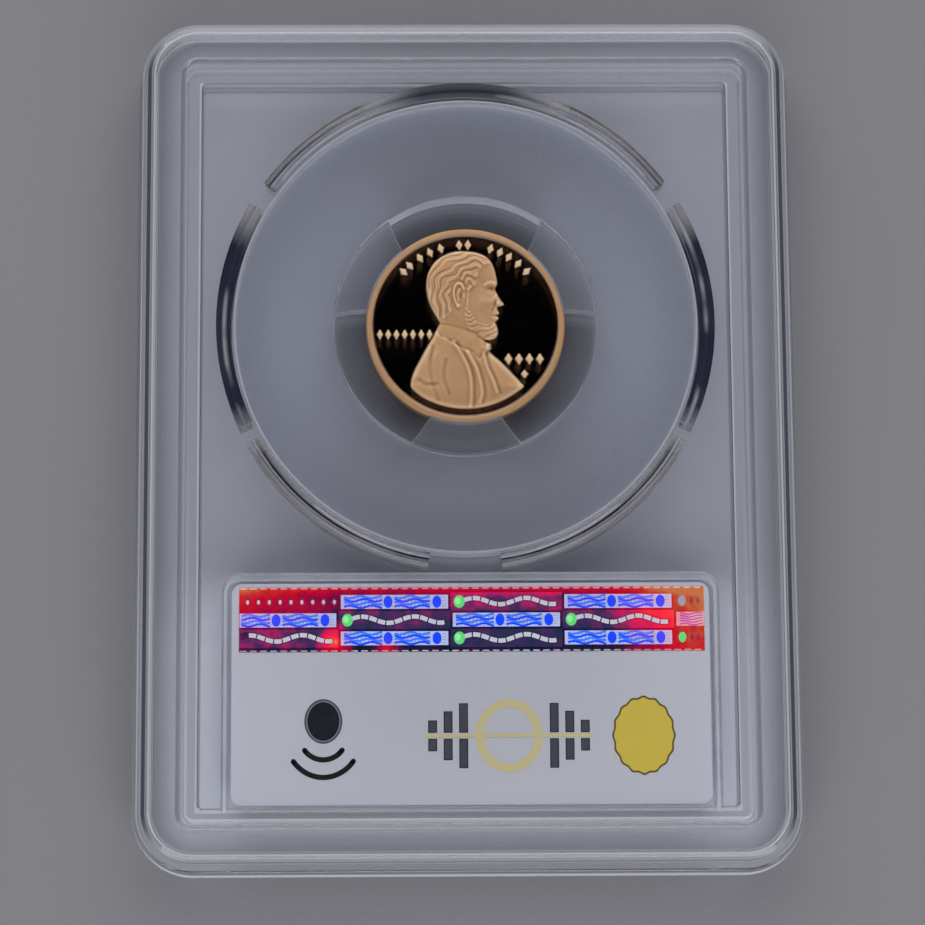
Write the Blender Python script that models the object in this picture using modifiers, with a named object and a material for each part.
"""A sealed collector's coin slab: a coin in a clear prong insert, with its label stack, between two
welded clear half shells.

Metres, +Z up. The slab lies flat, its label towards -Y, its back face (the one with the security
strip) up. The origin is under the slab's middle, on the surface that it rests on.
"""
import math

import bmesh
import bpy

MM = 0.001

# --- driving dimensions ---------------------------------------------------------------------------
SLAB_WIDTH = 63.0 * MM
SLAB_HEIGHT = 82.6 * MM
SLAB_THICKNESS = 8.0 * MM
CORNER_RADIUS = 5.9 * MM
GAP = 0.3 * MM                      # between neighbouring pieces

RIM_INNER_INSET = 4.25 * MM         # the flat stacking rim ends here, measured in from the outline
PANEL_RECESS = 0.75 * MM            # how far the window panel lies below the rim
CAVITY_INSET = 6.2 * MM             # the inside of the perimeter wall
CAVITY_DEPTH = 3.4 * MM             # between the two panels' inner faces
LIP_HEIGHT = 0.9 * MM               # the step joint's lip, which stands above the parting plane

COIN_DIAMETER = 19.05 * MM
COIN_THICKNESS = 1.52 * MM
COIN_CENTRE_Y = 11.2 * MM

INSERT_RADIUS = 22.2 * MM
INSERT_WINDOW_RADIUS = 12.6 * MM
INSERT_LIP_REACH = 0.375 * MM       # how far a prong's two lips reach over the coin's rim
PRONG_ANGLES = (30, 150, 270)
PRONG_TIP_HALF_ANGLE = 20.5
PRONG_ROOT_HALF_ANGLE = 24.5

RING_WALL_THICKNESS = 1.25 * MM
RING_WALL_ARCS = ((-25, 30), (36, 144), (150, 205), (209, 261), (278, 331))

LABEL_WIDTH = 45.0 * MM
LABEL_HEIGHT = 20.9 * MM
LABEL_THICKNESS = 0.25 * MM
LABEL_CORNER_RADIUS = 1.0 * MM
LABEL_CENTRE_X = 0.3 * MM           # the label pocket sits a little off the middle
LABEL_CENTRE_Y = -24.25 * MM
POCKET_WALL_THICKNESS = 0.6 * MM

STRIP_WIDTH = 43.8 * MM
STRIP_HEIGHT = 6.1 * MM
STRIP_THICKNESS = 0.12 * MM
STRIP_MARGIN = 0.4 * MM             # from the label's top edge
STRIP_CENTRE_X = 0.4 * MM

INLAY_WIDTH = 38.0 * MM
INLAY_HEIGHT = 16.0 * MM
FILM_THICKNESS = 0.1 * MM
ANTENNA_WIDTH = 34.0 * MM
ANTENNA_HEIGHT = 12.5 * MM
ANTENNA_TRACK = 0.5 * MM
ANTENNA_PITCH = 1.0 * MM
ANTENNA_TURNS = 4
CHIP_SIZE = 1.4 * MM
CHIP_THICKNESS = 0.4 * MM

# --- heights worked out from them -----------------------------------------------------------------
PARTING_Z = SLAB_THICKNESS / 2
PANEL_Z = SLAB_THICKNESS - PANEL_RECESS
CEILING_Z = PARTING_Z + CAVITY_DEPTH / 2
FLOOR_Z = PARTING_Z - CAVITY_DEPTH / 2
STRIP_Z = CEILING_Z - GAP - STRIP_THICKNESS
BACK_LABEL_Z = STRIP_Z - GAP - LABEL_THICKNESS
FRONT_LABEL_Z = FLOOR_Z + GAP
INLAY_Z = FRONT_LABEL_Z + LABEL_THICKNESS + GAP
ANTENNA_Z = INLAY_Z + FILM_THICKNESS + GAP
RING_WALL_RADIUS = INSERT_RADIUS + GAP

CORNER_SEGMENTS = 12
CIRCLE_SEGMENTS = 96
MERGE_DISTANCE = 0.000001

CLEAR_ACRYLIC = (0.86, 0.89, 0.93)


# --- scene and materials --------------------------------------------------------------------------
def clear_scene():
    for old in list(bpy.data.objects):
        bpy.data.objects.remove(old, do_unlink=True)


def new_collection(name):
    collection = bpy.data.collections.new(name)
    bpy.context.scene.collection.children.link(collection)
    return collection


def make_material(name, colour, roughness, metallic=0.0, transmission=0.0):
    material = bpy.data.materials.new(name)
    material.use_nodes = True
    shader = material.node_tree.nodes["Principled BSDF"]
    shader.inputs["Base Color"].default_value = (*colour, 1.0)
    shader.inputs["Roughness"].default_value = roughness
    shader.inputs["Metallic"].default_value = metallic
    shader.inputs["Transmission Weight"].default_value = transmission
    return material


# --- geometry helpers -----------------------------------------------------------------------------
def rounded_rectangle(half_width, half_height, radius, segments=CORNER_SEGMENTS, centre=(0.0, 0.0)):
    """Anticlockwise outline, starting at the right end of the lower edge's right corner."""
    corners = ((1, -1, -90), (1, 1, 0), (-1, 1, 90), (-1, -1, 180))
    points = []
    for side_x, side_y, start in corners:
        for step in range(segments + 1):
            angle = math.radians(start + 90 * step / segments)
            x = side_x * (half_width - radius) + radius * math.cos(angle)
            y = side_y * (half_height - radius) + radius * math.sin(angle)
            points.append((centre[0] + x, centre[1] + y))
    return points


def arc(radius, start, end, segments):
    """Points from angle start to angle end, in degrees, about the coin's centre."""
    points = []
    for step in range(segments + 1):
        angle = math.radians(start + (end - start) * step / segments)
        points.append((radius * math.cos(angle), COIN_CENTRE_Y + radius * math.sin(angle)))
    return points


def finish_mesh(part, material, smooth_angle=30):
    part.data.materials.clear()
    part.data.materials.append(material)
    part.data.shade_smooth()
    part.data.set_sharp_from_angle(angle=math.radians(smooth_angle))


def loft_rings(name, rings, collection):
    """One closed body through rounded-rectangle rings (inset, corner radius, z), capped at both ends."""
    mesh = bpy.data.meshes.new(name)
    build = bmesh.new()
    loops = []
    for inset, radius, z in rings:
        outline = rounded_rectangle(SLAB_WIDTH / 2 - inset, SLAB_HEIGHT / 2 - inset, radius)
        loops.append([build.verts.new((x, y, z)) for x, y in outline])
    for inner, outer in zip(loops, loops[1:]):
        for index in range(len(inner)):
            following = (index + 1) % len(inner)
            build.faces.new((inner[index], inner[following], outer[following], outer[index]))
    build.faces.new(loops[0])
    build.faces.new(loops[-1])
    bmesh.ops.recalc_face_normals(build, faces=build.faces)
    build.to_mesh(mesh)
    build.free()
    part = bpy.data.objects.new(name, mesh)
    collection.objects.link(part)
    return part


def make_plate(name, outlines, bottom_z, top_z, collection):
    """A flat plate: a filled 2D curve through the outlines, extruded, turned into a welded mesh."""
    curve = bpy.data.curves.new(name, "CURVE")
    curve.dimensions = "2D"
    curve.fill_mode = "BOTH"
    curve.extrude = (top_z - bottom_z) / 2
    for outline in outlines:
        spline = curve.splines.new("POLY")
        spline.points.add(len(outline) - 1)
        for point, (x, y) in zip(spline.points, outline):
            point.co = (x, y, 0, 1)
        spline.use_cyclic_u = True
    guide = bpy.data.objects.new(name + "_outline", curve)
    guide.location.z = (top_z + bottom_z) / 2
    collection.objects.link(guide)
    bpy.context.view_layer.update()
    evaluated = guide.evaluated_get(bpy.context.evaluated_depsgraph_get())
    mesh = bpy.data.meshes.new_from_object(evaluated)
    build = bmesh.new()
    build.from_mesh(mesh)
    bmesh.ops.remove_doubles(build, verts=build.verts, dist=MERGE_DISTANCE)
    bmesh.ops.recalc_face_normals(build, faces=build.faces)
    build.to_mesh(mesh)
    build.free()
    plate = bpy.data.objects.new(name, mesh)
    plate.matrix_world = guide.matrix_world
    collection.objects.link(plate)
    bpy.data.objects.remove(guide, do_unlink=True)
    return plate


def apply_tool(part, tool, operation):
    boolean = part.modifiers.new(operation.lower(), "BOOLEAN")
    boolean.operation = operation
    boolean.solver = "EXACT"
    boolean.object = tool
    tool.hide_render = True
    tool.display_type = "WIRE"


# --- the two welded half shells -------------------------------------------------------------------
def outer_profile():
    """Rings from the middle of the window panel out over the rim to just above the parting plane."""
    above = PARTING_Z
    return [
        (4.75 * MM, 0.4 * MM, above - PANEL_RECESS),
        (RIM_INNER_INSET, 1.6 * MM, above),
        (1.50 * MM, 4.4 * MM, above),
        (0.95 * MM, 4.95 * MM, above - 0.20 * MM),
        (0.60 * MM, 5.3 * MM, above - 0.65 * MM),
        (0.0, CORNER_RADIUS, GAP / 2),
    ]


def shell_rings(inner_profile, side):
    """Heights in the profiles are above the parting plane; side is +1 for the upper half."""
    return [(inset, radius, PARTING_Z + side * height) for inset, radius, height in inner_profile]


def make_ribs(name, side, tools):
    """The broken round wall about the insert and the U-shaped wall about the label."""
    near = PARTING_Z + side * GAP / 2
    far = PARTING_Z + side * (CAVITY_DEPTH / 2 + 0.2 * MM)
    bottom_z, top_z = min(near, far), max(near, far)
    outlines = []
    for start, end in RING_WALL_ARCS:
        segments = max(6, round(CIRCLE_SEGMENTS * (end - start) / 360))
        outer = arc(RING_WALL_RADIUS + RING_WALL_THICKNESS, start, end, segments)
        inner = arc(RING_WALL_RADIUS, end, start, segments)
        outlines.append(outer + inner)
    left = LABEL_CENTRE_X - LABEL_WIDTH / 2 - GAP
    right = LABEL_CENTRE_X + LABEL_WIDTH / 2 + GAP
    top = LABEL_CENTRE_Y + LABEL_HEIGHT / 2 + GAP
    wall = POCKET_WALL_THICKNESS
    foot = -SLAB_HEIGHT / 2 + CAVITY_INSET - 0.4 * MM
    outlines.append([
        (left - wall, foot), (left, foot), (left, top), (right, top),
        (right, foot), (right + wall, foot), (right + wall, top + wall), (left - wall, top + wall),
    ])
    return make_plate(name, outlines, bottom_z, top_z, tools)


def make_front_shell(parts, tools, material):
    """Lower half, with the step joint's lip standing up inside the back shell's rebate."""
    lip_outer = RIM_INNER_INSET + 0.5 * MM
    inner = [
        (lip_outer, 1.2 * MM, GAP / 2),
        (lip_outer, 1.2 * MM, GAP / 2 - LIP_HEIGHT),
        (5.45 * MM, 0.8 * MM, GAP / 2 - LIP_HEIGHT),
        (CAVITY_INSET, 0.5 * MM, CAVITY_DEPTH / 2),
    ]
    shell = loft_rings("front_shell", shell_rings(outer_profile() + inner, -1), parts)
    apply_tool(shell, make_ribs("front_shell_ribs", -1, tools), "UNION")
    finish_mesh(shell, material)


def make_back_shell(parts, tools, material):
    """Upper half, rebated inside its edge for the front shell's lip."""
    rebate_outer = RIM_INNER_INSET + 0.5 * MM - GAP
    inner = [
        (rebate_outer, 1.4 * MM, GAP / 2),
        (rebate_outer, 1.4 * MM, LIP_HEIGHT + GAP / 2),
        (5.6 * MM, 0.8 * MM, LIP_HEIGHT + GAP / 2),
        (CAVITY_INSET, 0.5 * MM, CAVITY_DEPTH / 2),
    ]
    shell = loft_rings("back_shell", shell_rings(outer_profile() + inner, 1), parts)
    apply_tool(shell, make_ribs("back_shell_ribs", 1, tools), "UNION")
    finish_mesh(shell, material)


# --- the coin and its insert ----------------------------------------------------------------------
def prong_outline():
    """The insert's inner edge: round windows between three prongs that reach the coin."""
    tip_radius = COIN_DIAMETER / 2 - INSERT_LIP_REACH
    points = []
    for index, centre in enumerate(PRONG_ANGLES):
        following = PRONG_ANGLES[(index + 1) % len(PRONG_ANGLES)] + (360 if index == 2 else 0)
        points += arc(tip_radius, centre - PRONG_TIP_HALF_ANGLE, centre + PRONG_TIP_HALF_ANGLE, 10)
        points += arc(INSERT_WINDOW_RADIUS, centre + PRONG_ROOT_HALF_ANGLE,
                      following - PRONG_ROOT_HALF_ANGLE, 16)
    return points


def make_coin_insert(parts, tools, material):
    bottom_z = FLOOR_Z + GAP
    top_z = CEILING_Z - GAP
    rim = arc(INSERT_RADIUS, 0, 360, CIRCLE_SEGMENTS)[:-1]
    insert = make_plate("coin_insert", [rim, prong_outline()], bottom_z, top_z, parts)

    slot_half = COIN_THICKNESS / 2 + GAP
    slot_edge = arc(COIN_DIAMETER / 2 + GAP, 0, 360, CIRCLE_SEGMENTS)[:-1]
    slot = make_plate("coin_slot", [slot_edge], PARTING_Z - slot_half, PARTING_Z + slot_half, tools)
    apply_tool(insert, slot, "DIFFERENCE")

    relief_depth = 0.5 * MM
    relief_half_angle = PRONG_TIP_HALF_ANGLE - 3.5
    reliefs = []
    for centre in PRONG_ANGLES:
        outer = arc(INSERT_WINDOW_RADIUS, centre - relief_half_angle, centre + relief_half_angle, 8)
        inner = arc(COIN_DIAMETER / 2 + 1.3 * MM, centre + relief_half_angle,
                    centre - relief_half_angle, 8)
        reliefs.append(outer + inner)
    upper = make_plate("prong_relief_upper", reliefs, top_z - relief_depth, top_z + GAP, tools)
    lower = make_plate("prong_relief_lower", reliefs, bottom_z - GAP, bottom_z + relief_depth, tools)
    apply_tool(insert, upper, "DIFFERENCE")
    apply_tool(insert, lower, "DIFFERENCE")
    finish_mesh(insert, material)


def make_coin(parts, material):
    """A struck disc: a raised rim about a field that is dished on both faces."""
    radius = COIN_DIAMETER / 2
    half = COIN_THICKNESS / 2
    field = half - 0.16 * MM
    upper = [
        (0.0, field),
        (radius - 0.95 * MM, field),
        (radius - 0.80 * MM, half),
        (radius - 0.12 * MM, half),
        (radius, half - 0.12 * MM),
    ]
    profile = upper + [(x, -z) for x, z in reversed(upper)]
    mesh = bpy.data.meshes.new("coin")
    mesh.from_pydata([(x, 0, z) for x, z in profile],
                     [(index, index + 1) for index in range(len(profile) - 1)], [])
    coin = bpy.data.objects.new("coin", mesh)
    coin.location = (0, COIN_CENTRE_Y, PARTING_Z)
    parts.objects.link(coin)
    screw = coin.modifiers.new("turn", "SCREW")
    screw.steps = CIRCLE_SEGMENTS
    screw.render_steps = CIRCLE_SEGMENTS
    screw.use_merge_vertices = True
    screw.merge_threshold = MERGE_DISTANCE
    coin.data.materials.append(material)


# --- the label stack ------------------------------------------------------------------------------
def make_label(name, bottom_z, parts, material):
    outline = rounded_rectangle(LABEL_WIDTH / 2, LABEL_HEIGHT / 2, LABEL_CORNER_RADIUS,
                                segments=6, centre=(LABEL_CENTRE_X, LABEL_CENTRE_Y))
    label = make_plate(name, [outline], bottom_z, bottom_z + LABEL_THICKNESS, parts)
    finish_mesh(label, material)


def make_security_strip(parts, material):
    centre_y = LABEL_CENTRE_Y + LABEL_HEIGHT / 2 - STRIP_MARGIN - STRIP_HEIGHT / 2
    outline = rounded_rectangle(STRIP_WIDTH / 2, STRIP_HEIGHT / 2, STRIP_MARGIN,
                                segments=3, centre=(STRIP_CENTRE_X, centre_y))
    strip = make_plate("hologram_strip", [outline], STRIP_Z, STRIP_Z + STRIP_THICKNESS, parts)
    finish_mesh(strip, material)


def make_inlay_film(parts, material):
    outline = rounded_rectangle(INLAY_WIDTH / 2, INLAY_HEIGHT / 2, LABEL_CORNER_RADIUS,
                                segments=4, centre=(LABEL_CENTRE_X, LABEL_CENTRE_Y))
    film = make_plate("nfc_inlay_film", [outline], INLAY_Z, INLAY_Z + FILM_THICKNESS, parts)
    finish_mesh(film, material)


def spiral_track(half_width, half_height):
    """One closed outline of a flat rectangular coil: out along its outer side, back along its inner."""
    half = ANTENNA_TRACK / 2
    outer_side = [(-half_width, -half_height - half)]
    inner_side = [(-half_width, -half_height + half)]
    for turn in range(ANTENNA_TURNS):
        step = turn * ANTENNA_PITCH
        right, left = half_width - step, -half_width + step
        top, bottom = half_height - step, -half_height + step
        corners = ((right, bottom, 1, -1), (right, top, 1, 1), (left, top, -1, 1),
                   (left, bottom + ANTENNA_PITCH, -1, -1))
        for x, y, side_x, side_y in corners:
            outer_side.append((x + side_x * half, y + side_y * half))
            inner_side.append((x - side_x * half, y - side_y * half))
    return [(LABEL_CENTRE_X + x, LABEL_CENTRE_Y + y) for x, y in outer_side + inner_side[::-1]]


def make_antenna(parts, material):
    outline = spiral_track(ANTENNA_WIDTH / 2, ANTENNA_HEIGHT / 2)
    antenna = make_plate("nfc_antenna_coil", [outline], ANTENNA_Z, ANTENNA_Z + FILM_THICKNESS, parts)
    finish_mesh(antenna, material)


def make_chip(parts, material):
    bpy.ops.mesh.primitive_cube_add(size=1.0)
    chip = bpy.context.active_object
    chip.name = "nfc_chip"
    chip.data.name = "nfc_chip"
    for vertex in chip.data.vertices:
        vertex.co.x *= CHIP_SIZE
        vertex.co.y *= CHIP_SIZE
        vertex.co.z *= CHIP_THICKNESS
    inner_end = LABEL_CENTRE_X - ANTENNA_WIDTH / 2 + ANTENNA_TURNS * ANTENNA_PITCH
    chip.location = (inner_end + CHIP_SIZE / 2, LABEL_CENTRE_Y, ANTENNA_Z + CHIP_THICKNESS / 2)
    for collection in list(chip.users_collection):
        collection.objects.unlink(chip)
    parts.objects.link(chip)
    bevel = chip.modifiers.new("edge", "BEVEL")
    bevel.width = 0.08 * MM
    bevel.segments = 2
    finish_mesh(chip, material)


def main():
    clear_scene()
    parts = new_collection("graded_coin_slab")
    tools = new_collection("shaping_tools")
    shell_plastic = make_material("shell_plastic", CLEAR_ACRYLIC, 0.05, transmission=1.0)
    insert_plastic = make_material("insert_plastic", CLEAR_ACRYLIC, 0.12, transmission=1.0)
    coin_metal = make_material("coin_copper", (0.80, 0.56, 0.34), 0.25, metallic=1.0)
    paper = make_material("label_paper", (0.86, 0.86, 0.88), 0.55)
    foil = make_material("hologram_foil", (0.30, 0.34, 0.62), 0.25, metallic=0.8)
    film = make_material("inlay_film", (0.80, 0.82, 0.80), 0.35)
    track = make_material("antenna_aluminium", (0.72, 0.72, 0.74), 0.35, metallic=1.0)
    chip = make_material("chip_black", (0.03, 0.03, 0.035), 0.4)

    make_front_shell(parts, tools, shell_plastic)
    make_back_shell(parts, tools, shell_plastic)
    make_coin_insert(parts, tools, insert_plastic)
    make_coin(parts, coin_metal)
    make_label("front_label", FRONT_LABEL_Z, parts, paper)
    make_label("back_label", BACK_LABEL_Z, parts, paper)
    make_security_strip(parts, foil)
    make_inlay_film(parts, film)
    make_antenna(parts, track)
    make_chip(parts, chip)


main()
